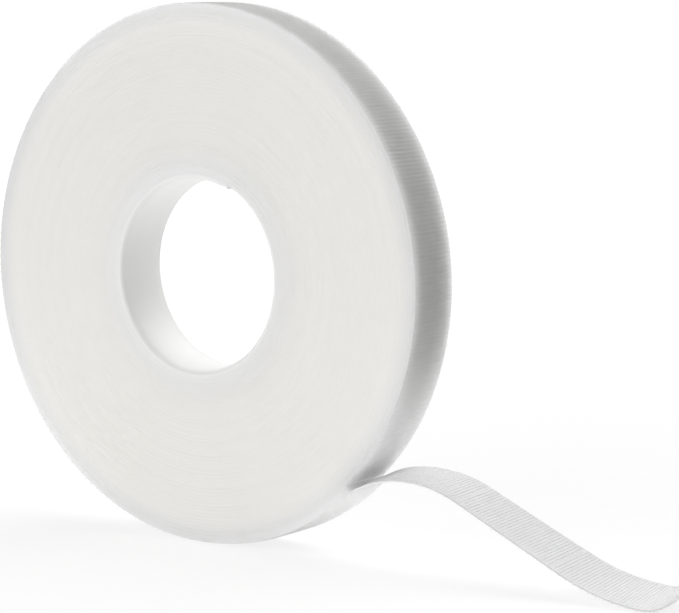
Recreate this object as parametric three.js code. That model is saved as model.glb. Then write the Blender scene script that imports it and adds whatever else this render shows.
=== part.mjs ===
// Roll of white back-to-back hook and loop tape, with its end pulled out onto the floor.
// Millimetres, +Z up. The roll's axis lies along Y, the tail runs to +X, and the origin
// is on the floor under the axis. Angles in the roll are counter-clockwise from +X, seen from -Y.

import * as THREE from 'three';

const DEGREE = Math.PI / 180;
const FULL_TURN = 2 * Math.PI;

// Tape: a loop ply and a hook ply bonded back to back
const TAPE_WIDTH = 25;
const LOOP_PLY = 0.4;
const HOOK_PLY = 0.4;
const BOND_GAP = 0.3;
const TURN_GAP = 0.36; // room that the hooks of one turn and the loops of the next share
const TAPE_THICKNESS = LOOP_PLY + BOND_GAP + HOOK_PLY;
const TURN_PITCH = TAPE_THICKNESS + TURN_GAP;

// Core: a thin tube rolled from one strip, whose inner end shows as a step in the bore
const BORE_DIAMETER = 76.2;
const CORE_WALL = 2.4;
const CORE_STEP = 1.5;
const CORE_STEP_ANGLE = 63 * DEGREE;

// Winding: the inner turns are one plain pack, and the outer turns wind over it
const SEAT_GAP = 0.3;
const INNER_TURNS = 35;
const OUTER_TURNS = 12;
const PEEL_ANGLE = -51.3 * DEGREE;

// Tail: it leaves the roll, arches over a hump, runs down to the floor and curls up at its end
const HUMP_RADIUS = 55;
const SLOPE_LENGTH = 50;
const SAG_RADIUS = 93;
const CURL_RADIUS = 18;
const CURL_TURN = 36 * DEGREE;
const END_LENGTH = 14;
const LINK_GAP = 0.3; // between the links that the tail flexes at
const LINK_NAMES = ['near', 'middle', 'end'];

// Facets
const TURN_STEPS = 36;
const BORE_STEPS = 72;
const TAIL_STEP = 6; // longest stretch of tail between two sections

// Radii that follow from the sizes above
const CORE_RADIUS = BORE_DIAMETER / 2 + CORE_WALL;
const PACK_INNER_RADIUS = CORE_RADIUS + SEAT_GAP;
const PACK_OUTER_RADIUS = PACK_INNER_RADIUS + INNER_TURNS * TURN_PITCH;
const WINDING_RADIUS = PACK_OUTER_RADIUS + SEAT_GAP;

// The roll stands on the lowest facet of its outermost turn. The turns grow by a little in each
// facet, so the facets are turned by TILT to lay that one level.
const STEP_ANGLE = FULL_TURN / TURN_STEPS;
const HALF_STEP = STEP_ANGLE / 2;
const STEP_RISE = TURN_PITCH / TURN_STEPS;
const FOOT_RADIUS = WINDING_RADIUS + OUTER_TURNS * TURN_PITCH + TAPE_THICKNESS;
const TILT = Math.atan(STEP_RISE / ((2 * FOOT_RADIUS - STEP_RISE) * Math.tan(HALF_STEP)));
const WINDING_START = TILT + HALF_STEP - FULL_TURN / 4;
const AXIS_HEIGHT = FOOT_RADIUS * Math.cos(HALF_STEP + TILT);

// A section is a point on the tape's loop face and the direction from there to its hook face.
function section(x, z, outX, outZ) {
  return { x, z, outX, outZ };
}

// Section of the winding, so far round from where the outer turns start.
function woundSection(travel) {
  const angle = WINDING_START + travel;
  const radius = WINDING_RADIUS + TURN_PITCH * (travel / FULL_TURN);
  const outX = Math.cos(angle);
  const outZ = Math.sin(angle);
  return section(radius * outX, radius * outZ, outX, outZ);
}

// How far round the outer turns go: their whole turns, then on from the start to the peel line.
const PEEL_TRAVEL = OUTER_TURNS * FULL_TURN + PEEL_ANGLE - WINDING_START;

// All sections of the outer turns, one at each facet's edge and one at the peel line.
function windingSections() {
  const startGap = SEAT_GAP / WINDING_RADIUS;
  const sections = [woundSection(startGap)];
  for (let travel = STEP_ANGLE; travel < PEEL_TRAVEL; travel += STEP_ANGLE) {
    sections.push(woundSection(travel));
  }
  sections.push(woundSection(PEEL_TRAVEL));
  return sections;
}

// The tail's route as arcs and straights. The slope's angle is the one that brings the hook face
// down to the floor: (hump + sag) * (1 - cos) + slope * sin has to equal the drop.
function tailRoute() {
  const peel = woundSection(PEEL_TRAVEL);
  const leave = PEEL_ANGLE + FULL_TURN / 4;
  const humpHeight = peel.z + AXIS_HEIGHT + HUMP_RADIUS * (1 - Math.cos(leave));
  const drop = humpHeight - TAPE_THICKNESS;
  const bends = HUMP_RADIUS + SAG_RADIUS;
  const reach = Math.hypot(bends, SLOPE_LENGTH);
  const slope = Math.acos((bends - drop) / reach) - Math.atan2(SLOPE_LENGTH, bends);
  const pieces = [
    { length: HUMP_RADIUS * leave, turn: -leave },
    { length: HUMP_RADIUS * slope, turn: -slope },
    { length: SLOPE_LENGTH, turn: 0 },
    { length: SAG_RADIUS * slope, turn: slope },
    { length: CURL_RADIUS * CURL_TURN, turn: CURL_TURN },
    { length: END_LENGTH, turn: 0 },
  ];
  return { start: peel, heading: leave, pieces };
}

const ROUTE = tailRoute();
const TAIL_LENGTH = ROUTE.pieces.reduce((sum, piece) => sum + piece.length, 0);
const FIRST_HINGE = ROUTE.pieces[0].length;
const LINK_LENGTH = (TAIL_LENGTH - FIRST_HINGE) / LINK_NAMES.length;

// Section of the tail, so far along its route from the peel line.
function tailSection(along) {
  let { x, z } = ROUTE.start;
  let heading = ROUTE.heading;
  let left = along;
  for (const piece of ROUTE.pieces) {
    const part = Math.min(left, piece.length);
    const turn = piece.turn * (part / piece.length);
    const chord = turn === 0 ? part : part * (Math.sin(turn / 2) / (turn / 2));
    x += chord * Math.cos(heading + turn / 2);
    z += chord * Math.sin(heading + turn / 2);
    heading += turn;
    left -= part;
    if (left <= 0) break;
  }
  return section(x, z, Math.sin(heading), -Math.cos(heading));
}

// Sections along a stretch of the tail, both ends among them.
function tailSections(from, to) {
  const steps = Math.ceil((to - from) / TAIL_STEP);
  const sections = [];
  for (let i = 0; i <= steps; i += 1) {
    sections.push(tailSection(from + (to - from) * (i / steps)));
  }
  return sections;
}

// Closed strip along the sections, from depth `low` to depth `high` under the loop face.
function stripGeometry(sections, low, high) {
  const half = TAPE_WIDTH / 2;
  const corners = [[low, -half], [high, -half], [high, half], [low, half]];
  const positions = [];
  for (const { x, z, outX, outZ } of sections) {
    for (const [depth, y] of corners) {
      positions.push(x + depth * outX, y, z + depth * outZ);
    }
  }
  const index = [];
  const quad = (a, b, c, d) => index.push(a, b, c, a, c, d);
  const sides = corners.length;
  for (let i = 0; i + 1 < sections.length; i += 1) {
    for (let side = 0; side < sides; side += 1) {
      const next = (side + 1) % sides;
      const here = i * sides;
      const there = here + sides;
      quad(here + side, here + next, there + next, there + side);
    }
  }
  const last = (sections.length - 1) * sides;
  quad(3, 2, 1, 0);
  quad(last, last + 1, last + 2, last + 3);
  const geometry = new THREE.BufferGeometry();
  geometry.setAttribute('position', new THREE.Float32BufferAttribute(positions, 3));
  geometry.setIndex(index);
  geometry.computeVertexNormals();
  return geometry;
}

// Least distance between a strip's hook-side line and its loop-side line a turn further on.
function leastGap(sections, low, high) {
  const at = ({ x, z, outX, outZ }, depth) => new THREE.Vector2(x + depth * outX, z + depth * outZ);
  const inner = sections.map((s) => at(s, low));
  const outer = sections.map((s) => at(s, high));
  const nearest = new THREE.Vector2();
  const along = new THREE.Vector2();
  let least = Infinity;
  for (let i = 0; i < outer.length; i += 1) {
    for (let j = i + TURN_STEPS / 2; j + 1 < inner.length; j += 1) {
      along.subVectors(inner[j + 1], inner[j]);
      nearest.subVectors(outer[i], inner[j]);
      const share = THREE.MathUtils.clamp(nearest.dot(along) / along.lengthSq(), 0, 1);
      nearest.copy(inner[j]).addScaledVector(along, share);
      least = Math.min(least, nearest.distanceTo(outer[i]));
    }
  }
  return least;
}

// Points of a circle whose radius grows evenly by `rise` over the turn, from `start` round to it again.
function turnPoints(radius, rise, start, steps) {
  const points = [];
  const count = rise === 0 ? steps - 1 : steps;
  for (let i = 0; i <= count; i += 1) {
    const angle = start + FULL_TURN * (i / steps);
    const r = radius + rise * (i / steps);
    points.push(new THREE.Vector2(r * Math.cos(angle), r * Math.sin(angle)));
  }
  return points;
}

// Flat ring as wide as the tape, between an inner and an outer outline.
function ringGeometry(innerPoints, outerPoints) {
  const shape = new THREE.Shape(outerPoints);
  shape.holes.push(new THREE.Path(innerPoints));
  const geometry = new THREE.ExtrudeGeometry(shape, { depth: TAPE_WIDTH, bevelEnabled: false });
  geometry.rotateX(Math.PI / 2);
  geometry.translate(0, TAPE_WIDTH / 2, 0);
  return geometry;
}

function coreGeometry() {
  const bore = turnPoints(BORE_DIAMETER / 2, CORE_STEP, CORE_STEP_ANGLE, BORE_STEPS);
  return ringGeometry(bore, turnPoints(CORE_RADIUS, 0, 0, BORE_STEPS));
}

// The pack's outline climbs one turn's pitch, and the outer turns start at the step that this leaves.
function packGeometry() {
  const outline = turnPoints(PACK_OUTER_RADIUS, TURN_PITCH, WINDING_START, TURN_STEPS);
  return ringGeometry(turnPoints(PACK_INNER_RADIUS, 0, 0, BORE_STEPS), outline);
}

const corePlastic = new THREE.MeshStandardMaterial({ color: 0xf2f2f0, roughness: 0.55, metalness: 0 });
const packEdges = new THREE.MeshStandardMaterial({ color: 0xe8e8e0, roughness: 0.9, metalness: 0 });

// The two plies, with their depths under the loop face and their finishes
const PLIES = [
  {
    name: 'loop_ply',
    low: 0,
    high: LOOP_PLY,
    finish: { color: 0xe6e6e4, roughness: 0.95, metalness: 0 },
  },
  {
    name: 'hook_ply',
    low: LOOP_PLY + BOND_GAP,
    high: TAPE_THICKNESS,
    finish: { color: 0xeaeaec, roughness: 0.5, metalness: 0 },
  },
];

function named(name, geometry, material) {
  const mesh = new THREE.Mesh(geometry, material);
  mesh.name = name;
  return mesh;
}

// Adds a loop ply and a hook ply along the sections to the group.
function addTape(group, name, sections) {
  for (const ply of PLIES) {
    const geometry = stripGeometry(sections, ply.low, ply.high);
    const material = new THREE.MeshStandardMaterial(ply.finish);
    group.add(named(`${name}_${ply.name}`, geometry, material));
  }
}

// Outer turns with the root of the tail, as one unbroken tape up to the first hinge.
function addOuterTurns(group) {
  const root = tailSections(0, FIRST_HINGE - LINK_GAP / 2).slice(1);
  const sections = [...windingSections(), ...root];
  addTape(group, 'outer_turns', sections);
  for (const ply of PLIES) {
    const gap = leastGap(sections, ply.low, ply.high);
    console.log(`outer_turns_${ply.name}: least gap to itself ${gap.toFixed(2)} mm`);
  }
}

// Links of the tail, each in a group whose origin is its hinge line on the loop face.
function addTail(rollGroup) {
  let parent = rollGroup;
  let parentHinge = { x: 0, z: 0 };
  LINK_NAMES.forEach((linkName, i) => {
    const from = FIRST_HINGE + i * LINK_LENGTH;
    const to = from + LINK_LENGTH;
    const isLast = i === LINK_NAMES.length - 1;
    const hinge = tailSection(from);
    const link = new THREE.Group();
    link.position.set(hinge.x - parentHinge.x, 0, hinge.z - parentHinge.z);
    const sections = tailSections(from + LINK_GAP / 2, isLast ? to : to - LINK_GAP / 2);
    const placed = sections.map((s) => section(s.x - hinge.x, s.z - hinge.z, s.outX, s.outZ));
    addTape(link, `tail_${linkName}`, placed);
    parent.add(link);
    parent = link;
    parentHinge = hinge;
  });
}

const roll = new THREE.Group();
roll.position.z = AXIS_HEIGHT;
roll.add(named('core', coreGeometry(), corePlastic));
roll.add(named('inner_turns', packGeometry(), packEdges));
addOuterTurns(roll);
addTail(roll);

const tapeRoll = new THREE.Group();
tapeRoll.add(roll);

export default tapeRoll;
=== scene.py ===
"""White roll of back-to-back hook and loop tape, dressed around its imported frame.

The tape is one strip. It winds out from a thin core, leaves the roll at the peel line, arches over
a hump and lies down on the floor. Every piece is worked out from the same route of that strip, in
millimetres: how far along the tape, how far across it, and how deep below its loop face.
"""

import logging
import math
from dataclasses import dataclass
from enum import Enum

import bpy
import numpy as np
from mathutils import Matrix, Vector


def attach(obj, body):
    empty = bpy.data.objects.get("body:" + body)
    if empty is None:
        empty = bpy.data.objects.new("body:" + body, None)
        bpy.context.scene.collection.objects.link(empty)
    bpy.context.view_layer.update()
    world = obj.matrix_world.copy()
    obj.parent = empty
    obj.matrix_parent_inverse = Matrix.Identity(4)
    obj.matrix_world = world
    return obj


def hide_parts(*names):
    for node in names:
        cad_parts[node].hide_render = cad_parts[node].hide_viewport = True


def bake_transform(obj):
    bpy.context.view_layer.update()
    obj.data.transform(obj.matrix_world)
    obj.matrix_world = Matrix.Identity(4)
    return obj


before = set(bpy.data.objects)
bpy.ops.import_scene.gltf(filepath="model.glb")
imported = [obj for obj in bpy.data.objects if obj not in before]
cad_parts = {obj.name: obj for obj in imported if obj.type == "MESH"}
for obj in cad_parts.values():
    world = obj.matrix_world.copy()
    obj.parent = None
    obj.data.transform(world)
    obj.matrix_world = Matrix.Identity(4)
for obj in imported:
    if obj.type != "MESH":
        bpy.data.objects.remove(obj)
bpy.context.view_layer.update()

log = logging.getLogger("tape_roll")

Array = np.ndarray
Piece = bpy.types.Object
Socket = bpy.types.NodeSocket
Tree = bpy.types.NodeTree
MM = 0.001
FULL_TURN = 2.0 * math.pi
WHITE = (1.0, 1.0, 1.0, 1.0)
TAPE_ATTRIBUTE = "tape"


class Body(Enum):
    """Moving bodies of the frame."""

    ROLL = "roll"
    NEAR = "tail_near"
    MIDDLE = "tail_middle"
    END = "tail_end"


class Slot(Enum):
    """Finishes that the record names."""

    CORE = "core_board"
    EDGES = "tape_edges"
    LOOPS = "loop_side"
    HOOKS = "hook_side"


def smoothstep(x: Array) -> Array:
    """Ease from 0 to 1 as x goes from 0 to 1: 3x^2 - 2x^3, flat beyond both ends."""
    t = np.clip(x, 0.0, 1.0)
    return t * t * (3.0 - 2.0 * t)


# The tape and its route


@dataclass(frozen=True)
class Tape:
    """Cross sizes in millimetres: a bonded ground with hooks on one side and loops on the other."""

    width: float = 25.0
    ground: float = 0.60
    hook_height: float = 0.50
    hook_rib: float = 0.18
    hook_row_pitch: float = 1.6918
    loop_height: float = 0.26
    loop_row_pitch: float = 1.45

    @property
    def half(self) -> float:
        """Half of the tape's width."""
        return self.width / 2.0

    @property
    def depth(self) -> float:
        """From the loop face to the tips of the hooks."""
        return self.ground + self.hook_height

    def hook_relief(self, along: Array) -> Array:
        """Height of the low ribs under the hooks: a cosine wave with a crest at each row."""
        return self.hook_rib * (0.5 + 0.5 * np.cos(FULL_TURN * along / self.hook_row_pitch))


@dataclass(frozen=True)
class Route:
    """Line that the tape's loop face follows, by the distance along it from the peel line.

    Before the peel line, distances are negative and the line is a spiral round the roll's axis.
    After it come an arc over the hump, a straight slope, an arc onto the floor and a curl. Sizes
    are in millimetres, and `place` says what those from `inset` on do.
    """

    tape: Tape = Tape()
    axis_height: float = 110.3779
    peel_angle: float = math.radians(-51.3)
    peel_radius: float = 109.8562
    core_radius: float = 40.70
    start_angle: float = math.radians(63.0)
    whole_turns: int = 47
    hump_radius: float = 55.0
    slope_length: float = 50.0
    sag_radius: float = 93.0
    curl_radius: float = 18.0
    curl_turn: float = math.radians(34.0)
    flare: float = math.radians(4.0)
    end_length: float = 19.2
    inset: float = 0.44
    crown: float = 0.12
    crown_power: int = 6
    wander: float = 0.05
    wander_waves: tuple[float, float] = (61.0, 143.0)
    wander_fade: float = 60.0
    slack: float = 0.9
    slack_rise: float = 50.0
    slack_start: float = -72.0
    slack_fall: float = 35.0
    lean: float = math.radians(2.5)
    lean_over: float = 18.0
    skew: float = math.radians(2.7)
    skew_from: float = 15.0
    skew_over: float = 30.0
    twist: float = math.radians(6.4)
    twist_from: float = 38.0
    twist_over: float = 107.0

    @property
    def leave(self) -> float:
        """Heading at the peel line."""
        return self.peel_angle + FULL_TURN / 4.0

    @property
    def turns(self) -> float:
        """Turns from the start at the core to the peel line."""
        return self.whole_turns + (self.peel_angle - self.start_angle) / FULL_TURN

    @property
    def turn_length(self) -> float:
        """Distance along the route that goes once round the roll."""
        return FULL_TURN * self.peel_radius

    @property
    def pitch(self) -> float:
        """Growth of the radius in one turn."""
        return (self.peel_radius - self.inset - self.core_radius) / self.turns

    @property
    def arcs(self) -> tuple[tuple[float, float], ...]:
        """Length and turn of each stretch of the tail.

        The slope's angle brings the hook tips down to the floor: (hump + sag) * (1 - cos) +
        slope * sin equals the drop. The curl takes over from the sag at the flare, so the drop
        grows by (sag - curl) * (1 - cos flare).

        Returns:
            Pairs of a length in millimetres and a turn in radians, from the peel line on.
        """
        foot = self.peel_radius * math.sin(self.peel_angle) + self.axis_height
        drop = foot + self.hump_radius * (1.0 - math.cos(self.leave)) - self.tape.depth
        drop += (self.sag_radius - self.curl_radius) * (1.0 - math.cos(self.flare))
        bends = self.hump_radius + self.sag_radius
        slope = math.acos((bends - drop) / math.hypot(bends, self.slope_length))
        slope -= math.atan2(self.slope_length, bends)
        return (
            (self.hump_radius * self.leave, -self.leave),
            (self.hump_radius * slope, -slope),
            (self.slope_length, 0.0),
            (self.sag_radius * (slope - self.flare), slope - self.flare),
            (self.curl_radius * (self.flare + self.curl_turn), self.flare + self.curl_turn),
            (self.end_length, 0.0),
        )

    @property
    def root_length(self) -> float:
        """From the peel line to the tail's first bend, at the top of the hump."""
        return self.arcs[0][0]

    @property
    def tail_length(self) -> float:
        """From the peel line to the tape's end."""
        return sum(length for length, _ in self.arcs)

    def line(self, along: Array) -> tuple[Array, Array, Array]:
        """Points of the route and its headings.

        On the winding the angle grows evenly with the distance and the radius evenly with the
        angle. On the tail each stretch adds its chord, part * sin(turn / 2) / (turn / 2), at its
        middle heading.

        Args:
            along: distances from the peel line in millimetres.

        Returns:
            x, z and the heading, counter-clockwise from +X seen from the front.
        """
        wound = np.minimum(along, 0.0) / self.peel_radius
        angle = self.peel_angle + wound
        radius = self.peel_radius + self.pitch * wound / FULL_TURN
        x = radius * np.cos(angle)
        z = radius * np.sin(angle) + self.axis_height
        heading = angle + FULL_TURN / 4.0
        left = np.maximum(along, 0.0)
        for length, turn in self.arcs:
            part = np.minimum(left, length)
            turned = turn * part / length
            chord = part * np.sinc(turned / FULL_TURN)
            x = x + chord * np.cos(heading + turned / 2.0)
            z = z + chord * np.sin(heading + turned / 2.0)
            heading = heading + turned
            left = left - part
        return x, z, heading

    def place(self, along: Array, across: Array, depth: Array) -> Array:
        """Points of the tape from distances along it, across it and below its loop face.

        On the roll the tape is inset, so that its hooks just touch the floor. Its edges are
        pressed in by the crown, which grows from nothing at the core. Both fade out over the
        tail's root. The tape wanders sideways by two slow waves, up to the peel line. Round the
        peel line it stands off by its slack. The tail leans back about its near lower edge, and
        by the skew more where its far edge still clings to the roll. Further out it twists about
        that edge by the square of the distance.

        Args:
            along: distances from the peel line.
            across: distances from the tape's middle, towards the rear.
            depth: distances from the loop face, towards the hooks.

        Returns:
            Points in millimetres, with the coordinates on a last axis.
        """
        along, across, depth = np.broadcast_arrays(along, across, depth)
        x, z, heading = self.line(along)
        held = 1.0 - smoothstep(along / self.root_length)
        share = np.clip(1.0 + along / (self.turns * self.turn_length), 0.0, 1.0)
        edge = np.clip(np.abs(across) / self.tape.half, 0.0, 1.0) ** self.crown_power
        loose = smoothstep((along - self.slack_start) / self.slack_rise)
        loose = self.slack * loose * (1.0 - smoothstep(along / self.slack_fall))
        deep = depth - (self.inset + self.crown * share * edge) * held + loose
        short, long = self.wander_waves
        waves = np.sin(along / short) + np.sin(along / long + 1.0)
        aside = self.wander * waves * (1.0 - smoothstep(along / self.wander_fade + 1.0))
        reach = np.maximum(along - self.twist_from, 0.0) / self.twist_over
        skew = self.skew * (1.0 - smoothstep((along - self.skew_from) / self.skew_over))
        turn = (self.lean + skew) * smoothstep(along / self.lean_over) + self.twist * reach * reach
        out, down = across + self.tape.half, deep - self.tape.depth
        y = out * np.cos(turn) + down * np.sin(turn) - self.tape.half + aside
        deep = down * np.cos(turn) - out * np.sin(turn) + self.tape.depth
        return np.stack([x + deep * np.sin(heading), y, z - deep * np.cos(heading)], axis=-1)

    def point(self, along: float) -> tuple[float, float, float]:
        """Point of the loop face's middle line, in metres."""
        x, z, _ = self.line(np.array(along))
        return (float(x) * MM, 0.0, float(z) * MM)


# Meshes


def grid_quads(numbers: Array) -> Array:
    """Quads between neighbours in a grid of point numbers.

    Args:
        numbers: point numbers, by row and column.

    Returns:
        One line of four numbers a quad: a point, the next in its row, and the two in the next row.
    """
    here, there = numbers[:-1], numbers[1:]
    corners = [here[:, :-1], here[:, 1:], there[:, 1:], there[:, :-1]]
    return np.stack(corners, axis=-1).reshape(-1, 4)


def carried_faces(rows: int, columns: int) -> list[Array]:
    """Faces of a closed section carried along a line, with a cap at each end.

    Args:
        rows: number of sections.
        columns: points of a section, in order round it.

    Returns:
        The quads of the sides, then the first cap and the last cap.
    """
    numbers = np.arange(rows * columns).reshape(rows, columns)
    sides = grid_quads(np.concatenate([numbers, numbers[:, :1]], axis=1))
    return [sides, numbers[:1, ::-1], numbers[-1:]]


def repeated_faces(faces: list[Array], size: int, count: int) -> list[Array]:
    """Faces of many copies of one shape, whose points follow each other.

    Args:
        faces: faces of the shape.
        size: number of its points.
        count: number of copies.

    Returns:
        The faces of all copies.
    """
    shift = (np.arange(count) * size)[:, None, None]
    return [(face[None] + shift).reshape(-1, face.shape[1]) for face in faces]


def add_object(name: str, points: Array, faces: list[Array], flat: int = 0) -> Piece:
    """Makes a mesh object at the origin, smooth but for its last faces.

    Args:
        name: name of the piece.
        points: points in millimetres, with the coordinates on a last axis.
        faces: arrays of faces, each with one line of point numbers for a face.
        flat: number of faces at the end of the list that are shaded flat.

    Returns:
        The new object.
    """
    counts = np.concatenate([np.full(len(face), face.shape[1]) for face in faces])
    corners = np.concatenate([face.ravel() for face in faces])
    starts = np.concatenate([[0], np.cumsum(counts)[:-1]])
    smooth = np.arange(len(counts)) < len(counts) - flat
    mesh = bpy.data.meshes.new(name)
    mesh.vertices.add(points.size // 3)
    mesh.vertices.foreach_set("co", (points * MM).astype(np.float32).ravel())
    mesh.loops.add(len(corners))
    mesh.loops.foreach_set("vertex_index", corners.astype(np.int32))
    mesh.polygons.add(len(counts))
    mesh.polygons.foreach_set("loop_start", starts.astype(np.int32))
    mesh.polygons.foreach_set("use_smooth", smooth)
    mesh.update(calc_edges=True)
    mesh.validate()
    piece = bpy.data.objects.new(name, mesh)
    bpy.context.scene.collection.objects.link(piece)
    log.info("%s: %d triangles", name, int((counts - 2).sum()))
    return piece


def mark_tape(piece: Piece, values: Array) -> None:
    """Stores where each point lies on the tape, in millimetres, for the finishes to read.

    Args:
        piece: mesh object.
        values: along, across, and the turn on the roll or the depth on the tail, for each point.
    """
    layer = piece.data.attributes.new(TAPE_ATTRIBUTE, "FLOAT_VECTOR", "POINT")
    layer.data.foreach_set("vector", values.astype(np.float32).ravel())


# Finishes


def linear(code: str) -> tuple[float, float, float, float]:
    """Turns an sRGB hex code into a linear colour, by the sRGB curve.

    Args:
        code: six hex digits, such as F0F0EE.

    Returns:
        Red, green, blue and alpha.
    """
    srgb = np.array([int(code[i : i + 2], 16) for i in (0, 2, 4)]) / 255.0
    bent = np.where(srgb <= 0.04045, srgb / 12.92, ((srgb + 0.055) / 1.055) ** 2.4)
    return (*bent.tolist(), 1.0)


def add_node(
    tree: Tree,
    kind: str,
    inputs: dict[str | int, object] | None = None,
    **settings: object,
) -> bpy.types.Node:
    """Adds a node with its settings, values and links.

    Args:
        tree: node tree of a material or world.
        kind: node's type, without its usual prefix.
        inputs: value or source socket for each input, by name or number.
        **settings: the node's own properties.

    Returns:
        The new node.
    """
    node = tree.nodes.new(f"ShaderNode{kind}")
    for key, value in settings.items():
        setattr(node, key, value)
    for key, value in (inputs or {}).items():
        if isinstance(value, Socket):
            tree.links.new(value, node.inputs[key])
        else:
            node.inputs[key].default_value = value
    return node


@dataclass(frozen=True)
class Finish:
    """White polymer surface: a colour that drifts a little, fine relief, and light that sinks in.

    Sizes are in millimetres. The colour drifts from `tone` to `shade` in patches `drift` wide, the
    relief is `relief` high and `grain` wide, and `sink` is the mean path of light that sinks in.
    """

    name: str
    slot: Slot
    tone: str
    shade: str
    roughness: float
    ior: float = 1.53
    drift: float = 6.0
    grain: float = 0.4
    relief: float = 0.03
    sink: float = 0.0
    sheen: float = 0.0

    def colour(self, tree: Tree, place: Socket) -> Socket:
        """Soft patches between the tone and the shade.

        Args:
            tree: node tree of the material.
            place: Object coordinates of the surface.

        Returns:
            Colour of the surface.
        """
        width = {"Vector": place, "Scale": 1.0 / (self.drift * MM), "Detail": 3.0}
        patches = add_node(tree, "TexNoise", width).outputs["Fac"]
        ends = {0: patches, 6: linear(self.tone), 7: linear(self.shade)}
        return add_node(tree, "Mix", ends, data_type="RGBA").outputs[2]

    def height(self, tree: Tree, place: Socket) -> Socket:
        """Fine relief, as a height from 0 to 1."""
        width = {"Vector": place, "Scale": 1.0 / (self.grain * MM), "Detail": 4.0}
        return add_node(tree, "TexNoise", width).outputs["Fac"]

    def sinking(self, tree: Tree) -> Socket | float:
        """Share of the light that sinks in."""
        return 1.0

    def material(self) -> bpy.types.Material:
        """Builds the material, or finds it where it has been built.

        Returns:
            The material.
        """
        material = bpy.data.materials.get(self.name)
        if material is not None:
            return material
        material = bpy.data.materials.new(self.name)
        material.use_nodes = True
        tree = material.node_tree
        tree.nodes.clear()
        place = add_node(tree, "TexCoord").outputs["Object"]
        height = self.height(tree, place)
        relief = {"Height": height, "Distance": self.relief * MM, "Strength": 1.0}
        bump = add_node(tree, "Bump", relief)
        inputs = {
            "Base Color": self.colour(tree, place),
            "Roughness": self.roughness,
            "IOR": self.ior,
            "Normal": bump.outputs["Normal"],
            "Sheen Weight": self.sheen,
            "Sheen Roughness": 0.5,
        }
        if self.sink:
            inputs["Subsurface Weight"] = self.sinking(tree)
            inputs["Subsurface Radius"] = (1.0, 1.0, 1.0)
            # the random walk divides its scale by 4 pi, so the mean path is multiplied by that
            inputs["Subsurface Scale"] = self.sink * MM * 4.0 * math.pi
        shader = add_node(tree, "BsdfPrincipled", inputs)
        add_node(tree, "OutputMaterial", {"Surface": shader.outputs["BSDF"]})
        return material


@dataclass(frozen=True)
class EdgeFinish(Finish):
    """Slit edges of wound tape: creamy between the rim and the core, each turn a little different.

    The fades are counted in turns. No light sinks into the first `shut` turns at the core.
    """

    neutral: str = "E7E7E7"
    # painted shade at the ring's outer edge
    outer: str = "DADADA"
    inner_fade: float = 9.0
    outer_fade: float = 6.0
    turns: float = float(Route.whole_turns)
    stripes_a_turn: float = 0.9
    shut: float = 0.5

    def turn(self, tree: Tree) -> Socket:
        """Turns between the core and each point, as the piece stores them."""
        tape = add_node(tree, "Attribute", attribute_name=TAPE_ATTRIBUTE).outputs["Vector"]
        return add_node(tree, "SeparateXYZ", {0: tape}).outputs["Z"]

    def colour(self, tree: Tree, place: Socket) -> Socket:
        """Cream with a tone for each turn, neutral at the core, and greyer towards the rim, where
        the grey is painted shade at the ring's outer edge.

        Args:
            tree: node tree of the material.
            place: Object coordinates of the surface.

        Returns:
            Colour of the surface.
        """
        turn = self.turn(tree)
        own = {"W": turn, "Scale": self.stripes_a_turn, "Detail": 1.0}
        stripes = add_node(tree, "TexNoise", own, noise_dimensions="1D").outputs["Fac"]
        ends = {0: stripes, 6: linear(self.tone), 7: linear(self.shade)}
        colour = add_node(tree, "Mix", ends, data_type="RGBA").outputs[2]
        # the outer tone greys the last turns: painted shade at the ring's outer edge
        for tone, start, end in (
            (self.neutral, 0.0, self.inner_fade),
            (self.outer, self.turns, self.turns - self.outer_fade),
        ):
            fade = {0: turn, 1: start, 2: end}
            inside = add_node(tree, "MapRange", fade, interpolation_type="SMOOTHSTEP").outputs[0]
            ends = {0: inside, 6: linear(tone), 7: colour}
            colour = add_node(tree, "Mix", ends, data_type="RGBA").outputs[2]
        return colour

    def sinking(self, tree: Tree) -> Socket:
        """All light sinks in but for the turns at the core, where it would be lost at the joint."""
        fade = {0: self.turn(tree), 1: self.shut, 2: self.inner_fade}
        return add_node(tree, "MapRange", fade, interpolation_type="SMOOTHSTEP").outputs[0]


@dataclass(frozen=True)
class RolledFinish(Finish):
    """Rolled sheet: its cut ends are a little duller than its faces."""

    cut: str = "ECECEB"
    half: float = Tape().half
    cut_depth: float = 3.0

    def colour(self, tree: Tree, place: Socket) -> Socket:
        """Soft patches on the faces, and the cut's tone towards both ends.

        Args:
            tree: node tree of the material.
            place: Object coordinates of the surface.

        Returns:
            Colour of the surface.
        """
        face = super().colour(tree, place)
        across = add_node(tree, "SeparateXYZ", {0: place}).outputs["Y"]
        far = add_node(tree, "Math", {0: across}, operation="ABSOLUTE").outputs[0]
        fade = {0: far, 1: (self.half - self.cut_depth) * MM, 2: self.half * MM}
        end = add_node(tree, "MapRange", fade, interpolation_type="SMOOTHSTEP").outputs[0]
        ends = {0: end, 6: face, 7: linear(self.cut)}
        return add_node(tree, "Mix", ends, data_type="RGBA").outputs[2]


@dataclass(frozen=True)
class WovenFinish(Finish):
    """Woven ground: threads along and across the tape, at their own spacing in millimetres."""

    warp: float = 0.55
    weft: float = 0.45

    def height(self, tree: Tree, place: Socket) -> Socket:
        """Threads both ways, as the higher of two rows of waves.

        Args:
            tree: node tree of the material.
            place: Object coordinates of the surface.

        Returns:
            Height from 0 to 1.
        """
        tape = add_node(tree, "Attribute", attribute_name=TAPE_ATTRIBUTE).outputs["Vector"]
        # at scale 1 a band wave repeats every 2 pi / 20 units, here millimetres
        repeat = FULL_TURN / 20.0
        waves = []
        for spacing, direction in ((self.weft, "X"), (self.warp, "Y")):
            row = {"Vector": tape, "Scale": repeat / spacing, "Distortion": 0.4, "Detail": 1.0}
            waves.append(add_node(tree, "TexWave", row, bands_direction=direction).outputs["Fac"])
        return add_node(tree, "Math", {0: waves[0], 1: waves[1]}, operation="MAXIMUM").outputs[0]


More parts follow.
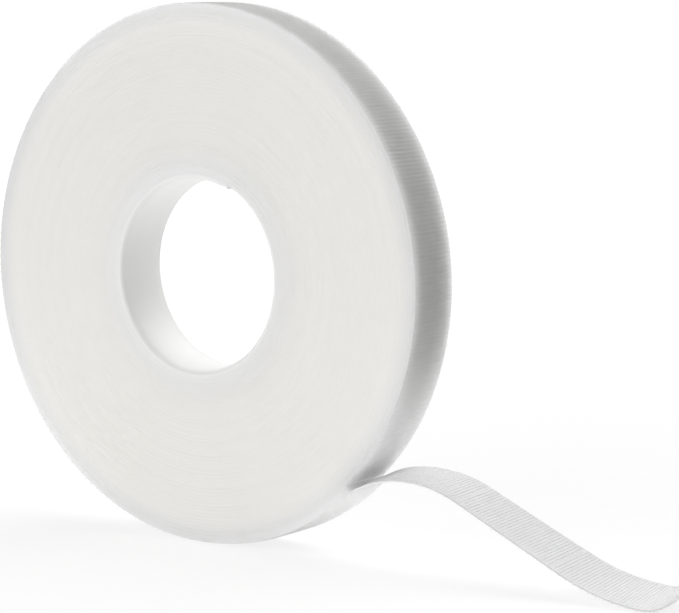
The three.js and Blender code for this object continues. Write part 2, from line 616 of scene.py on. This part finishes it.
@dataclass(frozen=True)
class HookFinish(Finish):
    """Hook side: paler beside the peel line and along both edges, all of it painted light.
    Near the peel line it lights the shade in the wedge between the rim and the tail. Along the
    edges it stands for light that comes in from the faces, on a selvedge a little whiter.

    The pale tone is full within `near` of `peeled`, a point of the rim just above the peel line,
    and gone at `far`. It grows to `selvedge_light_share` over the `selvedge` along each edge.
    """

    # painted light beside the peel line and along both edges
    pale: str = "ECECEC"
    peeled: tuple[float, float, float] = (80.0, 0.0, 35.8)
    near: float = 5.0
    far: float = 72.0
    half: float = Tape().half
    selvedge: float = 5.0
    selvedge_light_share: float = 0.3

    def colour(self, tree: Tree, place: Socket) -> Socket:
        """Soft patches, mixed with the pale tone, which is painted light, by the nearness of the
        peel line or an edge.

        Args:
            tree: node tree of the material.
            place: Object coordinates of the surface.

        Returns:
            Colour of the surface.
        """
        plain = super().colour(tree, place)
        ends = {0: place, 1: tuple(v * MM for v in self.peeled)}
        away = add_node(tree, "VectorMath", ends, operation="DISTANCE").outputs["Value"]
        across = add_node(tree, "SeparateXYZ", {0: place}).outputs["Y"]
        aside = add_node(tree, "Math", {0: across}, operation="ABSOLUTE").outputs[0]
        inner = self.half - self.selvedge
        # painted light: full beside the peel line and gone at `far`, and a share of it along both
        # edges
        fades = (
            {0: away, 1: self.near * MM, 2: self.far * MM, 3: 1.0, 4: 0.0},
            {0: aside, 1: inner * MM, 2: self.half * MM, 3: 0.0, 4: self.selvedge_light_share},
        )
        pair = {
            i: add_node(tree, "MapRange", fade, interpolation_type="SMOOTHSTEP").outputs[0]
            for i, fade in enumerate(fades)
        }
        share = add_node(tree, "Math", pair, operation="MAXIMUM").outputs[0]
        ends = {0: share, 6: plain, 7: linear(self.pale)}
        return add_node(tree, "Mix", ends, data_type="RGBA").outputs[2]


@dataclass(frozen=True)
class HookWeave(HookFinish, WovenFinish):
    """Woven ground of the hook side."""


# Slit edges of nylon tape are dull and let light sink in, so the ring's corners look soft.
TAPE_EDGES = EdgeFinish(
    "slit nylon tape edges", Slot.EDGES, "E7E6E3", "E5E4E1", 0.75, sink=1.6, relief=0.02
)
# The woven nylon ground under the hooks is drawn grey, with a thread grain. The grey is painted
# shade, for the shade among the hooks and on the rim turned away from the lamps. Light sinks
# through it into the turns below.
HOOK_GROUND = HookWeave("woven nylon hook ground", Slot.HOOKS, "BCBCBB", "B6B6B5", 0.65, sink=2.2)
# Hooks are drawn nylon: smoother than the ground, with small glints on their bends. Their grey is
# painted shade, like the ground's. They are so thin that some light passes through them, so the
# rim's upper edge is lighter.
HOOK_NYLON = HookFinish(
    "drawn nylon hooks", Slot.HOOKS, "C6C6C5", "BFBFBE", 0.42, sink=0.5, drift=4.0
)
# The free tail has the same weave. It is too thin for light to sink in, so it is drawn paler than
# on the roll: painted light, for light that passes through the thin tape.
TAIL_HOOK_GROUND = HookWeave("woven nylon tail ground", Slot.HOOKS, "D2D2D1", "CBCBCA", 0.7)
# The tail's slit edges are drawn darker than its grounds: painted shade, for the shade of the
# hooks beside them. Beside the peel line and along the edges they take the hook side's painted
# light.
TAIL_EDGES = HookFinish(
    "slit nylon tail edges, painted shade", Slot.HOOKS, "D0D0CF", "C9C9C8", 0.75, drift=1.5, grain=0.35
)
# The loop side's ground is whiter, with a thread grain that shows between the loops.
LOOP_GROUND = WovenFinish("woven nylon loop ground", Slot.LOOPS, "F5F5F5", "F0F0F0", 0.85)
# Brushed nylon loops are dull and a little fuzzy, with a pale sheen at grazing angles.
LOOP_PILE = Finish(
    "brushed nylon loop pile", Slot.LOOPS, "F6F6F6", "F1F1F1", 0.9,
    grain=0.3, relief=0.05, sheen=0.25,
)
# The core is calendered polypropylene sheet: smooth, faintly glossy and very white.
CORE_SHEET = RolledFinish(
    "calendered polypropylene core", Slot.CORE, "F6F6F5", "F2F2F1", 0.5,
    ior=1.49, grain=1.2, relief=0.01,
)


def dress(piece: Piece, finishes: list[Finish], chosen: Array | None = None) -> None:
    """Gives a piece its finishes.

    Args:
        piece: mesh object.
        finishes: its finishes in order.
        chosen: number of the finish for each face, or None where there is only one.
    """
    for finish in finishes:
        piece.data.materials.append(finish.material())
    if chosen is not None:
        piece.data.polygons.foreach_set("material_index", chosen.astype(np.int32))


def rows_between(first: float, last: float, pitch: float, clear: float) -> Array:
    """Whole multiples of a pitch along a stretch of tape.

    Args:
        first: where the stretch starts.
        last: where it ends.
        pitch: distance from row to row.
        clear: share of the pitch that stays clear at both ends.

    Returns:
        Distances along the tape.
    """
    return np.arange(math.ceil(first / pitch + clear), math.floor(last / pitch - clear) + 1) * pitch


def add_copies(name: str, points: Array, finish: Finish) -> Piece:
    """Makes one piece of many small closed bodies, each a section carried along a line.

    Args:
        name: name of the piece.
        points: points by body, section and place round the section.
        finish: its finish.

    Returns:
        The new piece.
    """
    count, sections, around = points.shape[:3]
    faces = repeated_faces(carried_faces(sections, around), sections * around, count)
    piece = add_object(name, points, faces)
    dress(piece, [finish])
    return piece


# Sub-assemblies


@dataclass
class Core:
    """Thin tube rolled from one strip, whose tapered inner end stands as a low step in the bore.

    `fit` is the gap to the tape, `taper` a share of the turn, and `corner` the strip at a corner.
    """

    route: Route
    bore_radius: float = 38.1
    step: float = 1.5
    fit: float = 0.05
    lip_width: float = 2.0
    lip_share: float = 0.8
    lip_depth: float = 6.0
    taper: float = 0.025
    columns: int = 240
    lip_steps: int = 8
    corner: float = 0.08

    def points(self) -> Array:
        """Wall with a quarter of an ellipse at each end of the bore, carried once round.

        The bore's radius is bore + step * t, and the outside's is the start of the tape's first
        turn + pitch * t, where t goes from 0 to 1 round the turn. Over the taper, the inner end
        thins out to the bore of the turn's end, and the lips narrow to a share of the wall. A
        narrow strip beside each outer corner keeps the shading of the cut ends flat.

        Returns:
            Points by section and by place round the section.
        """
        arc = np.linspace(0.0, FULL_TURN / 4.0, self.lip_steps)
        rise, fall = 1.0 - np.cos(arc), 1.0 - np.sin(arc)
        half = self.route.tape.half
        t = np.linspace(0.0, 1.0, self.columns + 1)[:, None]
        bore = self.bore_radius + self.step * (t + 1.0 - smoothstep(t / self.taper))
        outside = self.route.core_radius - self.fit + self.route.pitch * t
        inside = outside - self.corner
        lip = np.minimum(self.lip_width, self.lip_share * (inside - bore))
        front, rear = bore + lip * fall, bore + lip * rise
        radius = np.concatenate([outside, outside, inside, front, rear, inside], axis=1)
        lips = [self.lip_depth * rise - half, half - self.lip_depth * fall]
        across = np.concatenate([[half, -half, -half], *lips, [half]])
        angle = self.route.start_angle + FULL_TURN * t
        x, z = radius * np.cos(angle), radius * np.sin(angle) + self.route.axis_height
        return np.stack([x, np.broadcast_to(across, x.shape), z], axis=-1)

    def build(self) -> Piece:
        """Makes the tube.

        Returns:
            The new piece.
        """
        points = self.points()
        faces = [face[:, ::-1] for face in carried_faces(*points.shape[:2])]
        piece = add_object("core_tube", points, faces, flat=2)
        dress(piece, [CORE_SHEET])
        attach(piece, Body.ROLL.value)
        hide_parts("core")
        return piece


@dataclass
class WoundPack:
    """All turns of the tape on the roll: one closed body with a ridge for the edge of each turn.

    A face has `columns` in a turn and `over` more past the peel line, and the rim has `rim_steps`
    in a column. `groove_at` and `crest_at` are shares of the pitch, `hem_rib` is a share of a rib's
    height, and `seam` is the gap to the tail.
    """

    route: Route
    columns: int = 136
    over: int = 2
    rim_steps: int = 12
    rim_rows: tuple[float, ...] = (-12.3, -11.9, -9.0, -4.5, 0.0, 4.5, 9.0, 11.9, 12.3)
    hem_rib: float = 0.5
    groove: float = 0.15
    groove_at: float = 0.30
    crest_at: float = 0.80
    shoulder: float = 0.05
    seam: float = 0.05

    @property
    def overrun(self) -> float:
        """How far past the peel line the turns still cling, where the loops are drawn out."""
        return self.over * self.route.turn_length / self.columns

    def side(self, sign: float, first: int) -> tuple[Array, Array, Array]:
        """Builds one face of the ring as a spiral grid.

        A column crosses one turn, from the hook ground of the turn below to its own, by a
        shoulder, a groove, a shoulder and a crest. The column one turn on starts where it ends.
        Past the peel line, columns start on the rim below, and their loops are drawn out.

        Args:
            sign: -1 for the front and 1 for the rear.
            first: number of the face's first point.

        Returns:
            Points, their places on the tape, and point numbers by column and place in the column.
        """
        route, tape, turn = self.route, self.route.tape, self.columns
        peel = round(route.turns * turn)
        number = np.arange(peel + self.over + 1)[:, None]
        along = (number - peel) * (route.turn_length / turn)
        below = tape.ground - route.pitch
        share = np.array([0.0, self.groove_at, -below / route.pitch, self.crest_at])
        drop = np.array([self.shoulder, self.groove, self.shoulder, 0.0])
        turns = number / turn + share
        across = sign * (tape.half - drop)
        edge = sign * (tape.half - self.shoulder)
        outer, top = along[-turn:, 0], turns[-turn:, 0] + 1.0
        own = route.place(along, across, below + route.pitch * share)
        base = route.place(along[-self.over :, 0] - route.turn_length, edge, tape.ground)
        own[-self.over :, 1] = (base + own[-self.over :, 2]) / 2.0
        own[-self.over :, 0] = base
        places = [own.reshape(-1, 3), route.place(outer, edge, tape.ground)]
        marks = [np.broadcast_arrays(along, across, turns), np.broadcast_arrays(outer, edge, top)]
        marks = [np.stack(mark, axis=-1).reshape(-1, 3) for mark in marks]
        numbers = first + np.arange(turns.size).reshape(turns.shape)
        ends = np.concatenate([numbers[turn:, 0], first + turns.size + np.arange(turn)])
        numbers = np.concatenate([numbers, ends[:, None]], axis=1)
        return np.concatenate(places), np.concatenate(marks), numbers

    def rim(self) -> tuple[Array, Array]:
        """Builds the outermost hook ground as a grid, with a rib under each row of hooks.

        The ribs are lower at both hems.

        Returns:
            Points and their places on the tape, by column and from front to rear.
        """
        route, tape = self.route, self.route.tape
        along = np.linspace(-route.turn_length, 0.0, self.columns * self.rim_steps + 1)
        along = along[:, None] + self.overrun
        across = np.array(self.rim_rows)
        full = np.ones(across.size)
        full[[0, -1]] = self.hem_rib
        points = route.place(along, across, tape.ground + full * tape.hook_relief(along))
        marks = np.broadcast_arrays(along, across, np.full((1, 1), route.turns))
        return points, np.stack(marks, axis=-1)

    def build(self) -> Piece:
        """Makes both faces, the rim between them and the wall at the core.

        Returns:
            The new piece.
        """
        turn = self.columns
        front_points, front_marks, front = self.side(-1.0, 0)
        rear_points, rear_marks, rear = self.side(1.0, len(front_points))
        rim_points, rim_marks = self.rim()
        size = 2 * len(front_points)
        rim = size + np.arange(rim_marks.size // 3).reshape(rim_marks.shape[:2])
        near, far = front[-turn - 1 :, -1], rear[-turn - 1 :, -1]
        steps = np.arange(turn)[:, None] * self.rim_steps + np.arange(self.rim_steps + 1)
        hems = [
            np.concatenate([near[:-1, None], rim[steps, 0], near[1:, None]], axis=1),
            np.concatenate([far[1:, None], rim[steps, -1][:, ::-1], far[:-1, None]], axis=1),
        ]
        outside = grid_quads(rim)
        faces = [grid_quads(front), grid_quads(rear)[:, ::-1], outside, *hems]
        faces += self.walls(front, rear, rim[0], rim[-1])
        points = [front_points, rear_points, rim_points.reshape(-1, 3)]
        piece = add_object("wound_turns", np.concatenate(points), faces)
        mark_tape(piece, np.concatenate([front_marks, rear_marks, rim_marks.reshape(-1, 3)]))
        chosen = np.concatenate([np.full(len(face), face is outside) for face in faces])
        dress(piece, [TAPE_EDGES, HOOK_GROUND], chosen)
        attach(piece, Body.ROLL.value)
        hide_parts("inner_turns", "outer_turns_loop_ply", "outer_turns_hook_ply")
        return piece

    def walls(self, front: Array, rear: Array, low: Array, high: Array) -> list[Array]:
        """Faces of the wall at the core and of the steps where the tape starts and leaves.

        Args:
            front: point numbers of the front face, by column and place across the turn.
            rear: the same for the rear face.
            low: point numbers across the start of the rim, under the peel line, from front to rear.
            high: the same at the rim's end, where the tape leaves.

        Returns:
            Arrays of faces.
        """
        turn = self.columns
        core = grid_quads(np.stack([front[: turn + 1, 0], rear[: turn + 1, 0]], axis=1))[:, ::-1]
        start = grid_quads(np.stack([front[0], rear[0]], axis=1))
        leave = grid_quads(np.stack([low, high], axis=1))
        near = np.concatenate([front[-1], high[:1]])
        far = np.concatenate([rear[-1], high[-1:]])
        fans = [
            np.stack([np.full(near.size - 1, low[0]), near[:-1], near[1:]], axis=1),
            np.stack([np.full(far.size - 1, low[-1]), far[1:], far[:-1]], axis=1),
        ]
        return [core, start, leave, *fans]


@dataclass
class HookRows:
    """Rows of hooks on the hook side, one row on each rib of the ground.

    The outermost hooks stand about `margin` from the edges. `clear` is the share of the pitch that
    is kept free at each end.
    """

    route: Route
    spacing: float = 1.2
    margin: float = 0.5
    stem: float = 0.17
    blade: float = 0.065
    foot: float = 0.15
    clear: float = 0.4
    loose: float = 0.07
    seed: int = 11

    def hooks(self, rows: Array) -> Array:
        """Hooks as flat blades that rise, bend over and point down again.

        A blade's middle line goes through five points of its side view, from a foot beside the
        row's line. Its section is a rhomb that narrows to the tip, with `stem` across the tape and
        `blade` in its thickness, each from the middle to a corner. Every second hook is turned the
        other way, every second row is shifted by half a space, and each hook stands a little loose.

        Args:
            rows: distance along the tape of each row.

        Returns:
            Points by hook, place along the blade and place round it.
        """
        tape = self.route.tape
        rise = tape.hook_height - self.blade
        reach = np.array([0.0, -0.02, 0.05, 0.22, 0.38])
        level = np.array([-0.04, 0.22, 0.37, rise, 0.30])
        taper = np.array([1.0, 0.9, 0.8, 0.72, 0.5])
        bend = np.arctan2(np.gradient(level), np.gradient(reach))
        ring_side = np.array([1.0, 0.0, -1.0, 0.0])
        ring_out = np.array([0.0, 1.0, 0.0, -1.0])
        count = int(2.0 * (tape.half - self.margin) / self.spacing) + 1
        column = (np.arange(count) - (count - 1) / 2.0) * self.spacing
        stagger = (np.arange(rows.size) % 2 - 0.5) * self.spacing / 2.0
        rng = np.random.default_rng(self.seed)
        shift = rng.uniform(-self.loose, self.loose, (2, rows.size, count))
        along = (rows[:, None] + shift[0]).reshape(-1, 1, 1)
        across = (column + stagger[:, None] + shift[1]).reshape(-1, 1, 1)
        facing = np.where((np.arange(rows.size)[:, None] + np.arange(count)) % 2, 1.0, -1.0)
        facing = facing.reshape(-1, 1, 1)
        thick = self.blade * taper[:, None] * ring_out
        side = self.stem * taper[:, None] * ring_side
        run = reach[:, None] + thick * np.sin(bend)[:, None]
        up = level[:, None] - thick * np.cos(bend)[:, None]
        along = along + facing * (run - self.foot)
        return self.route.place(along, across + facing * side, tape.ground + up)

    def build(self, name: str, first: float, last: float) -> Piece:
        """Makes the hooks of a stretch of tape.

        Args:
            name: name of the piece.
            first: where the stretch starts along the tape.
            last: where it ends.

        Returns:
            The new piece.
        """
        rows = rows_between(first, last, self.route.tape.hook_row_pitch, self.clear)
        return add_copies(name, self.hooks(rows), HOOK_NYLON)


@dataclass
class LoopRows:
    """Rows of low loops on the loop side.

    `margin` is kept free at both edges together, and `clear`, a share of the pitch, at each end.
    `dip` is a share of the half turn, `turned` is in radians and `lowest` is a share of the height.
    """

    route: Route
    spacing: float = 0.80
    margin: float = 1.0
    reach: float = 0.42
    dip: float = 0.12
    steps: int = 6
    yarn: float = 0.075
    sides: int = 3
    turned: float = 0.3
    lowest: float = 0.8
    clear: float = 0.3
    loose: float = 0.07
    seed: int = 23

    def loops(self, rows: Array) -> Array:
        """Loops of yarn, each half an ellipse across the tape whose ends dip into the ground.

        The arch goes over by reach * cos and up by the loop's height * sin. Each loop is turned by
        a little, stands a little loose, and has its own share of the full height.

        Args:
            rows: distance along the tape of each row.

        Returns:
            Points by loop, place along the arch and place round the yarn.
        """
        tape = self.route.tape
        count = int((tape.width - self.margin) / self.spacing)
        column = (np.arange(count) - (count - 1) / 2.0) * self.spacing
        rng = np.random.default_rng(self.seed)
        shift = rng.uniform(-self.loose, self.loose, (2, rows.size, count))
        yaw = rng.uniform(-self.turned, self.turned, (rows.size, count)).reshape(-1, 1, 1)
        rise = rng.uniform(self.lowest, 1.0, (rows.size, count)).reshape(-1, 1, 1)
        arch = np.linspace(-self.dip, 1.0 + self.dip, self.steps)[:, None] * math.pi
        ring = np.arange(self.sides) * FULL_TURN / self.sides
        out = 1.0 + self.yarn / self.reach * np.cos(ring)
        side = -self.yarn * np.sin(ring) * np.ones_like(arch)
        over = self.reach * np.cos(arch) * out
        up = (tape.loop_height - self.yarn) * np.sin(arch) + self.yarn * np.cos(ring) * np.sin(arch)
        along = (rows[:, None] + shift[0]).reshape(-1, 1, 1)
        along = along + over * np.sin(yaw) + side * np.cos(yaw)
        across = (column + shift[1]).reshape(-1, 1, 1) + over * np.cos(yaw) - side * np.sin(yaw)
        return self.route.place(along, across, -up * rise)

    def build(self, name: str, first: float, last: float) -> Piece:
        """Makes the loops of a stretch of tape.

        Args:
            name: name of the piece.
            first: where the stretch starts along the tape.
            last: where it ends.

        Returns:
            The new piece.
        """
        rows = rows_between(first, last, self.route.tape.loop_row_pitch, self.clear)
        return add_copies(name, self.loops(rows), LOOP_PILE)


@dataclass
class TailStretch:
    """Stretch of the free tail round one hinge, with its hooks and loops.

    `bend` is a distance before and after the hinge. Its ground has `samples` to a row of
    loops, ribs that rise and fall by `rib` under them, and edges that are round over `edge`.
    """

    route: Route
    name: str
    first: float
    last: float
    hinge: float
    before: Body
    after: Body
    held: str
    rests_on: tuple[str, ...]
    rib: float = 0.07
    bend: float = 14.0
    samples: int = 4
    edge: float = 0.3
    flat_points: int = 13
    edge_points: int = 5

    def section(self) -> tuple[Array, Array, Array]:
        """Outline of the ground with half an ellipse at each edge, and which points the ribs lift.

        Returns:
            Places across, depths and sides, in order round the section. The side is -1 where the
            loop side's ribs lift the ground, 1 where the hook side's do, and 0 at the edges.
        """
        tape = self.route.tape
        flat = np.linspace(1.0, -1.0, self.flat_points) * (tape.half - self.edge)
        arc = np.linspace(-1.0, 1.0, self.edge_points + 2)[1:-1] * FULL_TURN / 4.0
        round_side = tape.half - self.edge + self.edge * np.cos(arc)
        round_deep = tape.ground / 2.0 * (1.0 + np.sin(arc))
        across = np.concatenate([flat, -round_side, flat[::-1], round_side])
        level, still = np.zeros(self.flat_points), np.zeros(self.edge_points)
        depth = np.concatenate([level, round_deep, level + tape.ground, round_deep[::-1]])
        lifted = np.pad(np.ones(self.flat_points - 2), 1)
        return across, depth, np.concatenate([-lifted, still, lifted, still])

    def ground(self) -> Piece:
        """Makes the bonded ground, with a rib under each row of loops and of hooks.

        Returns:
            The new piece.
        """
        tape = self.route.tape
        across, depth, side = self.section()
        steps = round((self.last - self.first) / tape.loop_row_pitch * self.samples)
        along = np.linspace(self.first, self.last, steps + 1)[:, None]
        loop_relief = self.rib * np.cos(FULL_TURN * along / tape.loop_row_pitch)
        hook_relief = np.where(side > 0.0, tape.hook_relief(along), 0.0)
        relief = np.where(side < 0.0, -loop_relief, hook_relief)
        points = self.route.place(along, across, depth + relief)
        faces = carried_faces(*points.shape[:2])
        piece = add_object(f"{self.name}_ground", points, faces, flat=2)
        marks = np.broadcast_arrays(along, across, depth)
        mark_tape(piece, np.stack(marks, axis=-1))
        loop, hook, slit = range(3)
        counts = [self.flat_points - 1, self.edge_points + 1] * 2
        kinds = np.repeat([loop, slit, hook, slit], counts)
        chosen = np.concatenate([np.tile(kinds, steps), [slit, slit]])
        dress(piece, [LOOP_GROUND, TAIL_HOOK_GROUND, TAIL_EDGES], chosen)
        return piece

    def build(self) -> list[Piece]:
        """Makes the stretch: its ground, hooks and loops.

        Returns:
            The ground, its hooks and its loops.
        """
        ground = self.ground()
        hooks = HookRows(self.route).build(f"{self.name}_hooks", self.first, self.last)
        loops = LoopRows(self.route).build(f"{self.name}_loops", self.first, self.last)
        start, end = (self.route.point(self.hinge + side * self.bend) for side in (-1.0, 1.0))
        for piece in (ground, hooks, loops):
            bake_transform(piece)
        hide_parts(f"{self.name}_loop_ply")
        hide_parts(f"{self.name}_hook_ply")
        return [ground, hooks, loops]


# Studio


@dataclass(frozen=True)
class Lamp:
    """Far soft lamp: where it stands seen from the object, how wide it looks and its strength."""

    name: str
    stands: tuple[float, float, float]
    spread: float
    strength: float

    def build(self) -> Piece:
        """Hangs the lamp.

        Returns:
            The lamp's object.
        """
        data = bpy.data.lights.new(self.name, "SUN")
        data.angle = self.spread
        data.energy = self.strength
        lamp = bpy.data.objects.new(self.name, data)
        lamp.rotation_euler = Vector(self.stands).to_track_quat("Z", "Y").to_euler()
        bpy.context.scene.collection.objects.link(lamp)
        return lamp


LAMPS = (
    Lamp("key", (-0.25, -1.0, 0.45), math.radians(60.0), 1.8),
    Lamp("top", (0.12, 0.6, 1.0), math.radians(60.0), 2.2),
)


@dataclass
class Studio:
    """White floor, soft lamps and the camera.

    The floor's sizes and distances are in metres, but for its drop, which like the camera's place
    is in millimetres. `shadow` is the share of the floor's own shading that the camera sees, and
    `white` is the level of the rest, at which an unshaded floor comes out white.
    """

    ambient: float = 0.05
    floor_side: float = 12.0
    floor_drop: float = 0.03
    floor_tone: str = "F4F4F4"
    white: float = 1.07
    shadow: float = 0.25
    shadow_near: float = 0.3
    shadow_far: float = 0.8
    glow: float = 0.35
    glow_near: float = 0.2
    glow_far: float = 0.5
    lens: float = 126.89
    sensor: float = 36.0
    camera_place: tuple[float, float, float] = (622.594, -749.467, 215.567)
    camera_right: tuple[float, float, float] = (0.80232562, 0.59679663, -0.01036226)
    camera_up: tuple[float, float, float] = (-0.06475749, 0.10429094, 0.99243633)
    camera_back: tuple[float, float, float] = (0.59336334, -0.79558606, 0.12232234)

    def seen(self, tree: Tree) -> Socket:
        """Tells rays of the camera, in gloss and through glass too, from rays of light.

        Args:
            tree: node tree of a material or world.

        Returns:
            Socket that is 1 for what the camera sees and else 0.
        """
        ray = add_node(tree, "LightPath").outputs
        pair = {0: ray["Is Camera Ray"], 1: ray["Is Glossy Ray"]}
        two = add_node(tree, "Math", pair, operation="MAXIMUM").outputs[0]
        three = {0: two, 1: ray["Is Transmission Ray"]}
        return add_node(tree, "Math", three, operation="MAXIMUM").outputs[0]

    def build_world(self) -> None:
        """Makes a white surround that lights the object evenly by the ambient level."""
        world = bpy.data.worlds.new("white studio")
        world.use_nodes = True
        tree = world.node_tree
        tree.nodes.clear()
        ends = {0: self.seen(tree), 2: self.ambient, 3: 1.0}
        strength = add_node(tree, "Mix", ends, data_type="FLOAT").outputs[0]
        surround = add_node(tree, "Background", {"Color": WHITE, "Strength": strength})
        add_node(tree, "OutputWorld", {"Surface": surround.outputs[0]})
        bpy.context.scene.world = world

    def build_floor(self) -> Piece:
        """Makes the floor: a white card that shows the camera part of its shading near the object.

        Round the object it also glows softly upwards, as a lit table does, unseen by the camera.

        Returns:
            The floor.
        """
        half = self.floor_side / 2.0 / MM
        corners = np.array([[-1.0, -1.0], [1.0, -1.0], [1.0, 1.0], [-1.0, 1.0]]) * half
        points = np.concatenate([corners, np.full((4, 1), -self.floor_drop)], axis=1)
        floor = add_object("floor", points, [np.arange(4)[None, :]])
        material = bpy.data.materials.new("white card")
        material.use_nodes = True
        tree = material.node_tree
        tree.nodes.clear()
        card = add_node(tree, "BsdfDiffuse", {"Color": linear(self.floor_tone)}).outputs[0]
        white = add_node(tree, "Emission", {"Color": WHITE, "Strength": self.white}).outputs[0]
        place = add_node(tree, "TexCoord").outputs["Object"]
        far = add_node(tree, "VectorMath", {0: place}, operation="LENGTH").outputs["Value"]
        fade = {0: far, 1: self.shadow_near, 2: self.shadow_far, 3: 1.0 - self.shadow, 4: 1.0}
        plain = add_node(tree, "MapRange", fade, interpolation_type="SMOOTHSTEP").outputs[0]
        part = {0: self.seen(tree), 1: plain}
        share = add_node(tree, "Math", part, operation="MULTIPLY").outputs[0]
        mixed = add_node(tree, "MixShader", {0: share, 1: card, 2: white}).outputs[0]
        rest = {0: 1.0, 1: self.seen(tree)}
        hidden = add_node(tree, "Math", rest, operation="SUBTRACT").outputs[0]
        fade = {0: far, 1: self.glow_near, 2: self.glow_far, 3: self.glow, 4: 0.0}
        level = add_node(tree, "MapRange", fade, interpolation_type="SMOOTHSTEP").outputs[0]
        level = add_node(tree, "Math", {0: level, 1: hidden}, operation="MULTIPLY").outputs[0]
        glow = add_node(tree, "Emission", {"Color": WHITE, "Strength": level}).outputs[0]
        both = add_node(tree, "AddShader", {0: mixed, 1: glow}).outputs[0]
        add_node(tree, "OutputMaterial", {"Surface": both})
        floor.data.materials.append(material)
        return floor

    def build_camera(self) -> Piece:
        """Sets up the camera at the photograph's place and angle.

        Returns:
            The camera.
        """
        data = bpy.data.cameras.new("camera")
        data.sensor_fit = "HORIZONTAL"
        data.sensor_width = self.sensor
        data.lens = self.lens
        data.clip_end = 50.0
        camera = bpy.data.objects.new("camera", data)
        turned = np.stack([self.camera_right, self.camera_up, self.camera_back], axis=1)
        stand = Matrix(turned.tolist()).to_4x4()
        stand.translation = Vector(self.camera_place) * MM
        camera.matrix_world = stand
        bpy.context.scene.collection.objects.link(camera)
        bpy.context.scene.camera = camera
        return camera

    def build(self) -> None:
        """Makes the world, the floor, the lamps and the camera."""
        bpy.context.scene.view_settings.view_transform = "Standard"
        self.build_world()
        self.build_floor()
        for lamp in LAMPS:
            lamp.build()
        self.build_camera()


def main() -> None:
    """Builds the studio and every piece of the roll."""
    logging.basicConfig(level=logging.INFO, format="%(name)s: %(message)s")
    Studio().build()
    route = Route()
    Core(route).build()
    pack = WoundPack(route)
    pack.build()
    half_way = -route.turn_length / 2.0
    for name, first, last in (
        ("rim_hooks_upper", pack.overrun - route.turn_length, half_way),
        ("rim_hooks_lower", half_way, pack.overrun),
    ):
        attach(HookRows(route).build(name, first, last), Body.ROLL.value)
    bodies = list(Body)
    holds = (("hung", ("wound_turns",)), ("hung", ("wound_turns",)), ("laid", ("floor",)))
    link = (route.tail_length - route.root_length) / len(holds)
    hinges = [route.root_length + i * link for i in range(len(holds))]
    pitch = route.tape.loop_row_pitch
    seams = [round((hinge + link / 2.0) / pitch) * pitch for hinge in hinges[:-1]]
    ends = [pack.overrun + pack.seam, *seams, route.tail_length]
    for i, (held, rests_on) in enumerate(holds):
        before, after = bodies[i : i + 2]
        span = (ends[i], ends[i + 1], hinges[i])
        TailStretch(route, after.value, *span, before, after, held, rests_on).build()


if __name__ == "__main__":
    main()
